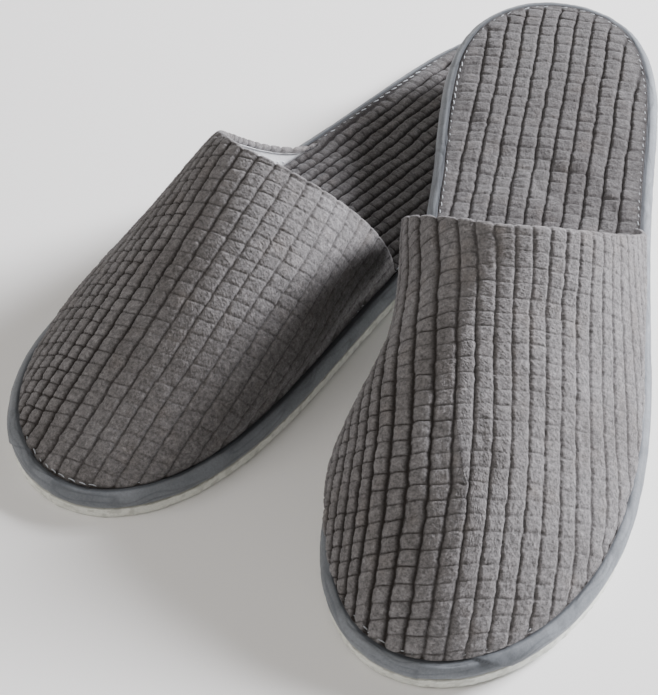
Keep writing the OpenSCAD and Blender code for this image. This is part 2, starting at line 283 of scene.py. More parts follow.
def waffle(U, V, seed, p=5.1, q=4.9, deep=.42, cross=.2, sg=.42, sc=.27, stagger=.13, ribs=None, shade=0.):
    # shade runs from 0 on the lit side to 1 on the shaded side: there grooves are cut deeper and wider, and below they
    # are painted darker
    deep = deep*(1 + 1.2*shade); sg = sg*(1 + .72*shade); cross = cross*(1 + .8*shade)
    wob = .25*table_noise(U*.045 + 7, V*.06 + 3, seed) + .1*table_noise(U*.15, V*.3, seed + 1)
    x = (ribs(U) if ribs else U/p) + wob/p
    y0 = (V + .5*table_noise(U*.11 + 31, V*.05, seed + 2))/q
    near = np.round(x)
    x = x + .038*table_noise(near*5.37 + 3, y0*1.9, seed + 6) + .022*table_noise(near*3.1, y0*5.3, seed + 7)
    k = np.floor(x); fx = x - k; dg = np.minimum(fx, 1 - fx)*p
    y = y0 + stagger*cell_rand(k, 0, seed + 3) + .05*table_noise(x*2.3, y0*.7, seed + 8)
    m = np.floor(y); fy = y - m; dc = np.minimum(fy, 1 - fy)*q
    depth = .4 + .85*cell_rand(k, np.where(fy > .5, m + 1, m), seed + 4)
    wide = sg*(1 + .6*np.exp(-(dc/.5)**2)*np.clip(depth, .5, 1.2))*(1 + .18*table_noise(near*2.7, y0*2.6, seed + 12))
    gx = np.exp(-np.abs(dg/wide)**1.8); gy = np.exp(-(dc/sc)**2)*depth
    pill = (1 - np.abs(2*fx - 1)**5)*(1 - .4*(2*fy - 1)**6)
    h = -deep*gx - cross*gy*(1 - gx) + .26*pill - .14
    h = h + .12*(cell_rand(k, m, seed + 5) - .5)*pill
    # groove is a painted-shade mask for the grooves, stronger where shade is high
    groove = np.clip(np.maximum(gx, (.62 + .3*shade)*gy)*(.48 + .8*shade), 0, 1)
    return h, groove


def bicubic(A, x, y):
    """Catmull-Rom sampling of A[i, j] at any points."""
    def w(f): return (-.5*f + f*f - .5*f**3, 1 - 2.5*f*f + 1.5*f**3, .5*f + 2*f*f - 1.5*f**3, -.5*f*f + .5*f**3)
    i = np.clip(np.floor(x).astype(int), 0, A.shape[0] - 2); j = np.clip(np.floor(y).astype(int), 0, A.shape[1] - 2)
    wx, wy = w(np.clip(x - i, 0, 1)), w(np.clip(y - j, 0, 1)); R = 0.
    for a in range(4):
        for b in range(4):
            R = R + (wx[a]*wy[b])[..., None]*A[np.clip(i + a - 1, 0, A.shape[0] - 1), np.clip(j + b - 1, 0, A.shape[1] - 1)]
    return R


# ------------------------------------------------------------------ padding under pressure
def swell(name, P, F, pin, pressure, cap_mm, slack, frames=20):
    """Cloth simulation of a coarse net, pinned where it is sewn. Returns how far each point moved, in mm."""
    me = bpy.data.meshes.new(name); me.from_pydata([tuple(v) for v in (P*.001).tolist()], [], [tuple(f) for f in F]); me.update()
    ob = bpy.data.objects.new(name, me); bpy.context.scene.collection.objects.link(ob)
    vg = ob.vertex_groups.new(name="pin"); vg.add([int(i) for i in np.flatnonzero(pin)], 1., 'REPLACE')
    md = ob.modifiers.new("cloth", 'CLOTH'); st = md.settings
    st.quality = 7; st.mass = .2; st.tension_stiffness = 12.; st.compression_stiffness = 9.; st.shear_stiffness = 4.; st.bending_stiffness = .6
    st.use_pressure = True; st.uniform_pressure_force = pressure; st.vertex_group_mass = "pin"; st.effector_weights.gravity = 0.
    st.shrink_min = -slack; md.collision_settings.use_collision = False
    md.point_cache.frame_start = 1; md.point_cache.frame_end = frames
    sc = bpy.context.scene
    for f in range(1, frames + 1): sc.frame_set(f)
    m2 = ob.evaluated_get(bpy.context.evaluated_depsgraph_get()).to_mesh()
    co = np.empty(len(P)*3, np.float32); m2.vertices.foreach_get("co", co); D = co.reshape(-1, 3).astype(float)*1000 - P
    bpy.data.objects.remove(ob); bpy.data.meshes.remove(me); sc.frame_set(1)
    n = np.linalg.norm(D, axis=1, keepdims=True)
    print("swell", name, "max", n.max().round(2), "mean", n.mean().round(2))
    return D*np.minimum(1, cap_mm/np.maximum(n, 1e-6))


# ------------------------------------------------------------------ materials
def mat_new(name):
    m = bpy.data.materials.new(name); m.use_nodes = True; nt = m.node_tree; nt.nodes.clear()
    out = nt.nodes.new("ShaderNodeOutputMaterial"); b = nt.nodes.new("ShaderNodeBsdfPrincipled")
    nt.links.new(b.outputs[0], out.inputs[0])
    co = nt.nodes.new("ShaderNodeTexCoord")
    return m, nt, b, co


def noise(nt, co, scale, detail=3., rough=.55, stretch=None):
    n = nt.nodes.new("ShaderNodeTexNoise"); n.inputs["Scale"].default_value = scale
    n.inputs["Detail"].default_value = detail; n.inputs["Roughness"].default_value = rough
    src = co.outputs["Object"]
    if stretch:
        mp = nt.nodes.new("ShaderNodeMapping"); mp.inputs["Scale"].default_value = stretch
        nt.links.new(src, mp.inputs["Vector"]); src = mp.outputs[0]
    nt.links.new(src, n.inputs["Vector"])
    return n.outputs["Fac"]


def ramp(nt, fac, stops):
    r = nt.nodes.new("ShaderNodeValToRGB"); el = r.color_ramp.elements
    while len(el) < len(stops): el.new(.5)
    for e, (p, c) in zip(el, stops): e.position = p; e.color = (*c, 1)
    nt.links.new(fac, r.inputs[0])
    return r.outputs[0]


def cmix(nt, a, b, fac, mode="MIX"):
    n = nt.nodes.new("ShaderNodeMix"); n.data_type = "RGBA"; n.blend_type = mode; n.clamp_factor = True
    A = [s for s in n.inputs if s.name == "A" and s.type == "RGBA"][0]
    B = [s for s in n.inputs if s.name == "B" and s.type == "RGBA"][0]
    F = [s for s in n.inputs if s.name == "Factor" and s.type == "VALUE"][0]
    for s, v in ((A, a), (B, b)):
        if isinstance(v, bpy.types.NodeSocket): nt.links.new(v, s)
        else: s.default_value = (*v, 1)
    if isinstance(fac, bpy.types.NodeSocket): nt.links.new(fac, F)
    else: F.default_value = fac
    return [s for s in n.outputs if s.type == "RGBA"][0]


def math_node(nt, op, a, b=None, clamp=False):
    n = nt.nodes.new("ShaderNodeMath"); n.operation = op; n.use_clamp = clamp
    for i, v in enumerate((a, b)):
        if v is None: continue
        if isinstance(v, bpy.types.NodeSocket): nt.links.new(v, n.inputs[i])
        else: n.inputs[i].default_value = v
    return n.outputs[0]


def bump(nt, b, height, dist, strength=1.):
    n = nt.nodes.new("ShaderNodeBump"); n.inputs["Distance"].default_value = dist; n.inputs["Strength"].default_value = strength
    nt.links.new(height, n.inputs["Height"]); nt.links.new(n.outputs[0], b.inputs["Normal"])
    return n


def attribute(nt, name):
    n = nt.nodes.new("ShaderNodeAttribute"); n.attribute_name = name
    return n.outputs["Fac"]


def fleece(name, light, dark, warm, groove_shade_col):
    m, nt, b, co = mat_new(name)
    big = noise(nt, co, 38., 3.)
    col = cmix(nt, dark, light, ramp(nt, big, [(.35, (0, 0, 0)), (.65, (1, 1, 1))]))
    patch = noise(nt, co, 110., 2.)
    col = cmix(nt, col, warm, math_node(nt, "MULTIPLY", ramp(nt, patch, [(.55, (0, 0, 0)), (.8, (1, 1, 1))]), .35))
    tips = noise(nt, co, 1250., 5., .75)                 # clumped fibre tips
    col = cmix(nt, col, ramp(nt, tips, [(.28, (.46, .46, .46)), (.5, (1., 1., 1.)), (.72, (1.6, 1.6, 1.62))]), 1., "MULTIPLY")
    clump = noise(nt, co, 520., 3., .6)
    col = cmix(nt, col, ramp(nt, clump, [(.3, (.74, .74, .74)), (.7, (1.22, 1.22, 1.22))]), 1., "MULTIPLY")
    # painted shade: the groove attribute darkens the base colour towards the groove colour in grooves, creases, the
    # seam and under the tape
    g = attribute(nt, "groove")
    col = cmix(nt, col, groove_shade_col, math_node(nt, "MULTIPLY", math_node(nt, "POWER", g, 1.15), .95))
    nt.links.new(col, b.inputs["Base Color"])
    b.inputs["Roughness"].default_value = .94
    b.inputs["Specular IOR Level"].default_value = .12
    b.inputs["Sheen Weight"].default_value = .22
    b.inputs["Sheen Roughness"].default_value = .45
    b.inputs["Sheen Tint"].default_value = (.86, .87, .92, 1)
    hgt = math_node(nt, "ADD", math_node(nt, "MULTIPLY", tips, .7), math_node(nt, "MULTIPLY", clump, .5))
    bump(nt, b, hgt, .0006, .8)
    return m


def cloth_mat(name, base, vary, scale=900., rough=.8, sheen=.15, dist=.00012, rib=(1, 1, 1), dirt_and_shade=None):
    m, nt, b, co = mat_new(name)
    n1 = noise(nt, co, 60., 3.); n2 = noise(nt, co, scale, 4., .7, rib)
    col = cmix(nt, base, vary, ramp(nt, n1, [(.35, (0, 0, 0)), (.68, (1, 1, 1))]))
    col = cmix(nt, col, ramp(nt, n2, [(.3, (.84, .84, .84)), (.7, (1.1, 1.1, 1.1))]), 1., "MULTIPLY")
    # the groove attribute mixes toward this colour: painted shade in creases, stitch holes, tread grooves and under the
    # tape, plus random darker patches on the foam sole
    if dirt_and_shade:
        col = cmix(nt, col, dirt_and_shade, math_node(nt, "MULTIPLY", attribute(nt, "groove"), .85))
    nt.links.new(col, b.inputs["Base Color"])
    b.inputs["Roughness"].default_value = rough
    b.inputs["Specular IOR Level"].default_value = .25
    b.inputs["Sheen Weight"].default_value = sheen
    bump(nt, b, n2, dist, .7)
    return m


FLEECE = fleece("waffle_fleece", (.190, .184, .188), (.148, .141, .142), (.192, .167, .150), (.024, .020, .018))
# the insole is the same fleece as the upper; its colours are set darker as painted shade on the flat insole
FLEECE_INSOLE_SHADED = fleece("waffle_fleece_insole_shaded", (.117, .113, .115), (.088, .083, .084), (.122, .103, .092), (.020, .017, .017))
# the last colour of the tape is painted shade; on the foam sole it is painted shade plus random patches
TAPE = cloth_mat("binding_tape", (.190, .206, .228), (.132, .145, .163), 1400., .66, .18, .00015, dirt_and_shade=(.04, .045, .055))
EVA = cloth_mat("eva_foam", (.80, .81, .76), (.68, .695, .64), 700., .7, .0, .00025, (1, 1, 2.2), dirt_and_shade=(.25, .25, .22))
LINING = cloth_mat("lining_nonwoven", (.88, .89, .92), (.79, .80, .84), 800., .85, .1, .0001, (1, 3, 1))
THREAD_W = cloth_mat("thread_white", (.74, .75, .79), (.66, .67, .72), 3000., .6, .2, .00005)
THREAD = cloth_mat("thread", (.46, .49, .53), (.31, .335, .365), 3000., .5, .2, .00005)
SPONGE = cloth_mat("sponge", (.78, .76, .68), (.70, .68, .60), 1200., .9, 0., .0003)
BOARD_M = cloth_mat("insole_board", (.42, .35, .26), (.35, .29, .21), 500., .8, 0., .0001)


# ------------------------------------------------------------------ the upper
def arc_samples(c, n):
    """u values from seam to ridge, evenly spaced along a typical arch."""
    uu = np.linspace(0, 1, 400); P = up(c, .75, uu, np.ones(400)); Q = up(c, .75, uu, -np.ones(400))
    s = (np.linalg.norm(np.diff(P, axis=0), axis=1) + np.linalg.norm(np.diff(Q, axis=0), axis=1))/2
    s = np.concatenate([[0], np.cumsum(s)]); return np.interp(np.linspace(0, s[-1], n + 1), s, uu)


NI, NJ = 32, 18
LAP = 1.05
PUFF = {}


def thin(e, d, dz):
    """The layers are pressed together where they are turned in at the opening."""
    k = smooth((np.asarray(e, float) - .76)/.17); return d*(1 - .56*k), dz*(1 - .53*k)


def relaxed(which, c, E, U, S, d=0., dz=0.):
    E, U, S = np.broadcast_arrays(np.asarray(E, float), U, S)
    if np.any(np.asarray(dz) != 0): d, dz = thin(E, d, dz)
    jc = np.where(S < 0, U*NJ, 2*NJ - U*NJ)
    return up(c, E, U, S, d, dz) + bicubic(PUFF[which], np.clip(E, 0, 1)*NI + 1, jc)


def puff_upper(which, c):
    E, J, P, idx, n = coarse_upper(c, NI, NJ)
    pts = np.zeros((n, 3)); pts[idx.ravel()] = P.reshape(-1, 3)
    F = []
    for i in range(NI):
        for j in range(2*NJ):
            q = [idx[i, j], idx[i + 1, j], idx[i + 1, j + 1], idx[i, j + 1]]
            q = [int(v) for k, v in enumerate(q) if v not in q[:k]]
            if len(q) > 2: F.append(q)
    a = np.cross(P[NI//2, NJ + 1] - P[NI//2, NJ - 1], P[NI//2 + 1, NJ] - P[NI//2 - 1, NJ])
    if a[2] > 0: F = [f[::-1] for f in F]                       # pressure pushes away from the foot
    pin = np.zeros(n, bool); pin[idx[:, 0]] = True; pin[idx[:, -1]] = True; pin[idx[NI]] = True
    D = swell(which + "_upper_net", pts, F, pin, 2.6, 2., .008)[idx]
    # what is left after the even swelling: the hand of the padding
    e = np.linspace(0, 1, NI + 1)[:, None]; u = 1 - np.abs(np.arange(-NJ, NJ + 1))[None]/NJ
    even = np.sin(np.pi*np.clip(e, 0, 1)**.8)*np.sin(np.pi/2*np.clip(u*1.6, 0, 1))
    k = (D*even[..., None]).sum((0, 1))/np.maximum((even**2).sum(), 1e-9); D = D - .8*even[..., None]*k
    hold = pin[idx][..., None]
    for _ in range(3):
        G = np.pad(D, ((1, 1), (1, 1), (0, 0)), 'edge'); G = (G[2:, 1:-1] + G[:-2, 1:-1] + G[1:-1, 2:] + G[1:-1, :-2])/8 + G[1:-1, 1:-1]/2; D = np.where(hold, D, G)
    m = np.linalg.norm(D, axis=-1, keepdims=True); D = D*np.minimum(1, .9/np.maximum(m, 1e-6))
    PUFF[which] = np.concatenate([D[1][::-1][None], D], 0)


def make_upper(which, c, ne, nu, phase_u, phase_v, seed, pitch, row, skew, ribs=None):
    E_END = .972
    puff_upper(which, c)
    us = arc_samples(c, nu)
    ucols = np.concatenate([us, us[:-1][::-1]])                # seam - ridge - seam
    side = np.concatenate([-np.ones(nu), np.ones(nu + 1)])
    # rows evenly spaced along the seam and the ridge together
    ef = np.linspace(0, 1, 500); a = up(c, ef, np.full(500, .35), np.ones(500)); b_ = up(c, ef, np.full(500, .9), np.ones(500))
    s = np.linalg.norm(np.diff(a, axis=0), axis=1) + .6*np.linalg.norm(np.diff(b_, axis=0), axis=1)
    s = np.concatenate([[0], np.cumsum(s)]); es = np.interp(np.linspace(0, np.interp(E_END, ef, s), ne + 1), s, ef)
    E, Uc = np.meshgrid(es, ucols, indexing="ij"); S = np.broadcast_to(side, E.shape)
    B = relaxed(which, c, E, Uc, S); B[0, :nu] = B[0, nu + 1:][::-1]
    # cloth coordinates
    ni, nj = NI, NJ
    UV = upper_uv(c, ni, nj)
    jc = np.where(side < 0, nj - (1 - ucols)*nj, nj + (1 - ucols)*nj)
    pad = UV[1][::-1][None]; UVp = np.concatenate([pad, UV], 0)   # across the toe path
    F = cubic(cubic(UVp, es*ni + 1, 0), jc, 1)
    F[0, :nu] = F[0, nu + 1:][::-1]
    # the cloth was laid on a little askew: ribs lean near the opening, rows slope
    su, sv, sw_ = skew; Vn = np.minimum(F[..., 1], 0.)
    F = np.stack([F[..., 0] + su*F[..., 1] + sv*Vn**2, F[..., 1] + sw_*F[..., 0]], -1)
    if which == "left":                                        # fewer ribs where the inner wall was stretched near the opening
        w_ = smooth((F[..., 1] + 62.)/55.)*.36; F[..., 0] = np.where(F[..., 0] < -16., -16. + (F[..., 0] + 16.)*(1 - w_), F[..., 0])
    # normals
    Bp = np.concatenate([B[1][::-1][None], B, (2*B[-1] - B[-2])[None]], 0)
    de = (Bp[2:] - Bp[:-2]); dj = np.gradient(B, axis=1)
    N = unit(np.cross(dj, de)); N[0, nu] = N[1, nu]
    N[0] = unit(N[0] + N[0][::-1])
    for _ in range(3):
        M = N.copy(); M[1:-1, 1:-1] += .5*(N[2:, 1:-1] + N[:-2, 1:-1] + N[1:-1, 2:] + N[1:-1, :-2]); N = unit(M)
    if N[ne//2, nu][2] < 0: N = -N
    away = np.sign((F[..., 0]*(B[..., 0] - B[..., 0].mean())).mean())*(-1. if which == "left" else 1.)   # the side away from the key light is in shade: there grooves are cut deeper and wider and painted darker (painted shade)
    shade = smooth((away*F[..., 0] + (3. if which == "left" else 22.))/(36. if which == "left" else 40.))
    if ribs is None:                                           # ribs crowd towards the outer side
        def ribs(U): return away*(away*U + .2*np.maximum(away*U - 6., 0))/pitch
    h, gr = waffle(F[..., 0] + phase_u, F[..., 1] + phase_v, seed, pitch, row, ribs=ribs, shade=shade)
    arcd = np.concatenate([np.zeros((ne + 1, 1)), np.cumsum(np.linalg.norm(np.diff(B, axis=1), axis=2), 1)], 1)
    dseam = np.minimum(arcd, arcd[:, -1:] - arcd)
    fade = smooth(dseam/3.5)
    soft = .35*table_noise(F[..., 0]*.05, F[..., 1]*.04, seed + 9) + .12*table_noise(F[..., 0]*.5, F[..., 1]*.5, seed + 10)
    tO2 = side[None, :]*es[:, None]*s2t(np.where(side > 0, c['outer'], c['inner']))[None, :]; onx, ony = nrm(tO2)
    lapo = LAP*np.exp(-(dseam/2.4)**2)[..., None]*np.stack([onx, ony, np.zeros_like(onx)], -1)
    lapo[..., 2] -= .55*np.exp(-(dseam/.9)**2)
    pucker = -.3*np.exp(-((dseam - 1.6)/1.)**2) + .35*np.exp(-((dseam - 3.)/2.5)**2)*table_noise(F[..., 0]*.22, F[..., 1]*.22, seed + 11)
    fuzz = .075*np.random.default_rng(seed + 15).standard_normal(h.shape)
    O = B + lapo + N*((h*(.4 + .6*fade)) + soft*fade + pucker + fuzz*fade)[..., None]
    O[..., 2] = np.maximum(O[..., 2], rim_z + .12)
    # painted shade: the groove mask darkens the last mm of fabric at the seam, in the crease against the tape
    gr = np.clip(gr + np.exp(-(dseam/.95)**2), 0, 1)
    rows, grs = [O], [gr]
    # rolled edge of the opening
    T = unit(np.gradient(B[-1], axis=0)); Nn = unit(N[-1] - (N[-1]*T).sum(1, keepdims=True)*T)
    Bd = unit(np.cross(Nn, T)); back = unit(B[-1] - B[-3])
    Bd = np.where(((Bd*back).sum(1) < 0)[:, None], -Bd, Bd)
    rho = .62 + .5*np.sin(np.pi/2*ucols**1.4) + (.3*np.sin(np.pi*np.clip(ucols, 0, 1)**.6)*(side > 0) if which == "right" else 0.); C = B[-1] - Nn*rho[:, None]; rel = .85*np.minimum(1, rho/1.3)
    dV = np.linalg.norm(F[-1] - F[-2], axis=1); dirF = unit(F[-1] - F[-2])
    for a in np.linspace(0, np.pi*1.04, 15)[1:]:
        Fa = F[-1] + dirF*(rho*a)[:, None]
        hh, gg = waffle(Fa[:, 0] + phase_u, Fa[:, 1] + phase_v, seed, pitch, row, ribs=ribs, shade=shade[-1])
        rr = rho + hh*rel*(1. if a < 2.2 else .6) + .12 + .03*np.random.default_rng(int(a*100)).standard_normal(hh.shape)
        rows.append((C + rr[:, None]*(math.cos(a)*Nn + math.sin(a)*Bd))[None]); grs.append((gg*.75)[None])
    hem = rows[-1][0]
    inner = relaxed(which, c, .945, ucols, side, 2.5, 4.5)
    # the roll keeps .75 of the groove's painted shade; the turned-in hem and the hidden inner face get a fixed .3 of
    # painted shade
    rows.append((.55*hem + .45*inner)[None]); grs.append(np.full((1, len(ucols)), .3))
    rows.append(inner[None]); grs.append(np.full((1, len(ucols)), .3))
    V = np.concatenate(rows, 0); G = np.concatenate(grs, 0)
    nrow, m = V.shape[:2]
    # tuck under the tape at both seams
    tf = side*1.
    Vs, Fs, Gs = [V.reshape(-1, 3)], [grid_faces(nrow, m)], [G.ravel()]
    nxt = nrow*m
    # inner face, rows matched to the outer seam, few columns
    nuc = 14; uc = np.linspace(0, 1, nuc + 1)
    icol = np.concatenate([uc, uc[:-1][::-1]]); iside = np.concatenate([-np.ones(nuc), np.ones(nuc + 1)])
    ie = np.concatenate([es[es < .94], [.945]])
    IE, IU = np.meshgrid(ie, icol, indexing="ij"); IS = np.broadcast_to(iside, IE.shape)
    I = relaxed(which, c, IE, IU, IS, 2.5, 4.5); I[0, :nuc] = I[0, nuc + 1:][::-1]
    Vs.append(I.reshape(-1, 3)); Gs.append(np.full(I.shape[0]*I.shape[1], .3)); Fs.append(grid_faces(I.shape[0], I.shape[1], nxt)[:, ::-1])
    mi = I.shape[1]; ibase = nxt; nxt += I.shape[0]*mi
    # seam skirts: outer edge down under the tape, then across to the inner face
    k_in = len(ie)
    for col, icolm in ((0, 0), (m - 1, mi - 1)):
        sg = -1. if col == 0 else 1.
        tO = sg*es*s2t(c['outer'] if sg > 0 else c['inner'])
        base = O[:, col]
        x1, y1 = rim(tO, BINDW + .12); low1 = np.stack([x1, y1, np.full_like(x1, rim_z + .06)], 1)
        x2, y2 = rim(tO, BINDW + .9); low2 = np.stack([x2, y2, np.full_like(x2, rim_z - .55)], 1)
        sk = np.stack([base, low1, low2], 0)
        # the skirts under the tape are painted in nearly full shade
        Vs.append(sk.reshape(-1, 3)); Gs.append(np.repeat([.9, 1., 1.], len(es)))
        f = grid_faces(3, len(es), nxt)
        Fs.append(f if col == 0 else f[:, ::-1])
        n2 = nxt + 2*len(es); nxt += 3*len(es)
        # bottom strip to the inner face, row by row
        i = np.arange(k_in - 2)
        q = np.stack([n2 + i, ibase + i*mi + icolm, ibase + (i + 1)*mi + icolm, n2 + i + 1], 1)
        Fs.append(q if col == 0 else q[:, ::-1])
        last = k_in - 2
        rest = np.arange(last, len(es) - 1)
        t3 = np.stack([n2 + rest, np.full_like(rest, ibase + (k_in - 1)*mi + icolm), n2 + rest + 1], 1)
        Fs.append(t3 if col == 0 else t3[:, ::-1])
        t3b = np.array([[n2 + last, ibase + last*mi + icolm, ibase + (k_in - 1)*mi + icolm]])
        Fs.append(t3b if col == 0 else t3b[:, ::-1])
        # end cap of the roll at the seam
        colids = np.arange(ne, nrow)*m + col
        end = n2 + len(es) - 1
        t4 = np.stack([colids[:-1], np.full(len(colids) - 1, end), colids[1:]], 1)
        Fs.append(t4[:, ::-1] if col == 0 else t4)
        Fs.append(np.array([[colids[-1], end, ibase + (k_in - 1)*mi + icolm]])[:, ::-1] if col == 0 else np.array([[colids[-1], end, ibase + (k_in - 1)*mi + icolm]]))
    # the hem's last row to the inner face's last row
    pa = np.concatenate([1 - us, 1 + (1 - us[:-1][::-1])]); pa = np.concatenate([us, 2 - us[:-1][::-1]])
    pb = np.concatenate([uc, 2 - uc[:-1][::-1]])
    ida = (nrow - 1)*m + np.arange(m); idb = ibase + (k_in - 1)*mi + np.arange(mi)
    i = j = 0; tr = []
    while i < m - 1 or j < mi - 1:
        if j == mi - 1 or (i < m - 1 and pa[i + 1] <= pb[j + 1]): tr.append((ida[i], ida[i + 1], idb[j])); i += 1
        else: tr.append((ida[i], idb[j + 1], idb[j])); j += 1
    Fs.append(np.array(tr)[:, ::-1])
    ob = build(which + "_upper_fabric", np.concatenate(Vs), Fs, which, FLEECE, {"groove": np.concatenate(Gs)}, flip=True)
    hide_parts(which + "_upper_shell", which + "_upper_padding")
    # lining
    ne2, nu2 = 90, 44
    le = np.linspace(0, .962, ne2 + 1); lu = arc_samples(c, nu2); lc = np.concatenate([lu, lu[:-1][::-1]]); ls = np.concatenate([-np.ones(nu2), np.ones(nu2 + 1)])
    LE, LU = np.meshgrid(le, lc, indexing="ij"); LS = np.broadcast_to(ls, LE.shape)
    wr = table_noise(LE*14 + LS*3, LU*6, seed + 20)*.35
    A1 = relaxed(which, c, LE, LU, LS, 2.9, 4.95); A2 = relaxed(which, c, LE, LU, LS, 3.45, 5.55)
    Nl = unit(A1 - A2 + np.array([0, 0, 1e-6])); A2 = A2 - Nl*np.clip(wr, -.1, .3)[..., None]
    for A in (A1, A2): A[0, :nu2] = A[0, nu2 + 1:][::-1]
    n1, m1 = LE.shape; nn = n1*m1
    Fl = [grid_faces(n1, m1), grid_faces(n1, m1, nn)[:, ::-1]]
    e0 = (n1 - 1)*m1 + np.arange(m1); Fl.append(np.stack([e0[:-1], nn + e0[:-1], nn + e0[1:], e0[1:]], 1)[:, ::-1])
    for col in (0, m1 - 1):
        r = np.arange(n1)*m1 + col; f = np.stack([r[:-1], nn + r[:-1], nn + r[1:], r[1:]], 1)
        Fl.append(f if col == 0 else f[:, ::-1])
    lin = build(which + "_lining_sheet", np.concatenate([A1.reshape(-1, 3), A2.reshape(-1, 3)]), Fl, which, LINING, flip=True)
    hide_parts(which + "_upper_lining")
    # hem stitches, on the lining just inside the opening
    lu4 = np.concatenate([np.linspace(.06, 1, 400), np.linspace(1, .06, 400)[1:]]); ls4 = np.concatenate([-np.ones(400), np.ones(399)])
    path = relaxed(which, c, .93, lu4, ls4, 3.5, 5.7); nrmI = -unit(relaxed(which, c, .93, lu4, ls4, 2.5, 4.5) - path)
    st = stitches(which + "_topline_stitches", path, nrmI, which, 3.2, 2.3, .2, "topline_stitching", THREAD_W, .06)
    return ob


def tube_along(pts, nor, r, sides=8):
    T = unit(np.gradient(pts, axis=0)); Nn = unit(nor - (nor*T).sum(1, keepdims=True)*T); Bn = np.cross(T, Nn)
    k = np.linspace(0, 2*np.pi, sides + 1)[:-1]
    prof = np.ones(len(pts)); prof[0] = prof[-1] = .25
    ring = pts[:, None] + (r*prof)[:, None, None]*(np.cos(k)[None, :, None]*Bn[:, None] + .8*np.sin(k)[None, :, None]*Nn[:, None])
    V = np.concatenate([ring.reshape(-1, 3), pts[:1], pts[-1:]]); n = len(pts)
    F4 = grid_faces(n, sides, 0, True)
    c0, c1 = n*sides, n*sides + 1; j = np.arange(sides); j2 = (j + 1) % sides
    F3 = np.concatenate([np.stack([np.full(sides, c0), j, j2], 1), np.stack([np.full(sides, c1), (n - 1)*sides + j2, (n - 1)*sides + j], 1)])
    return V, F4, F3


def stitches(name, path, nor, which, pitch, length, r, node, mat, sunk=0.):
    s = np.concatenate([[0], np.cumsum(np.linalg.norm(np.diff(path, axis=0), axis=1))])
    n = int(s[-1]/pitch); pitch = s[-1]/n; rng = np.random.default_rng(len(name))
    Vs, F4s, F3s, base = [], [], [], 0
    for i in range(n):
        a = i*pitch + .3*rng.random(); q = np.linspace(a, a + length, 7); q = np.minimum(q, s[-1])
        P = np.stack([np.interp(q, s, path[:, k]) for k in range(3)], 1); Nn = unit(np.stack([np.interp(q, s, nor[:, k]) for k in range(3)], 1))
        w = np.sin(np.linspace(0, np.pi, 7)); Tn = unit((P[-1] - P[0])[None]); P = P + np.cross(Nn, Tn)*(.28*np.linspace(-1, 1, 7))[:, None]
        P = P + Nn*((w**.6*.30 - .30 - sunk) + .06*rng.standard_normal())[:, None]
        V, F4, F3 = tube_along(P, Nn, r)
        Vs.append(V); F4s.append(F4 + base); F3s.append(F3 + base); base += len(V)
    ob = build(name, np.concatenate(Vs), [np.concatenate(F4s), np.concatenate(F3s)], which, mat)
    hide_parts(which + "_" + node)
    return ob


# ------------------------------------------------------------------ the sole and its edge
def ring_t(n):
    """n values of t round the outline, evenly spaced along it."""
    t = np.linspace(0, 2*np.pi, 6001); x, y = rim(t, 0); s = np.concatenate([[0], np.cumsum(np.hypot(np.diff(x), np.diff(y)))])
    return np.interp(np.linspace(0, s[-1], n + 1)[:-1], s, t), s[-1]


def half_t(n):
    """n + 1 values of t from toe to heel, dense at both ends."""
    return np.linspace(0, np.pi, n + 1)


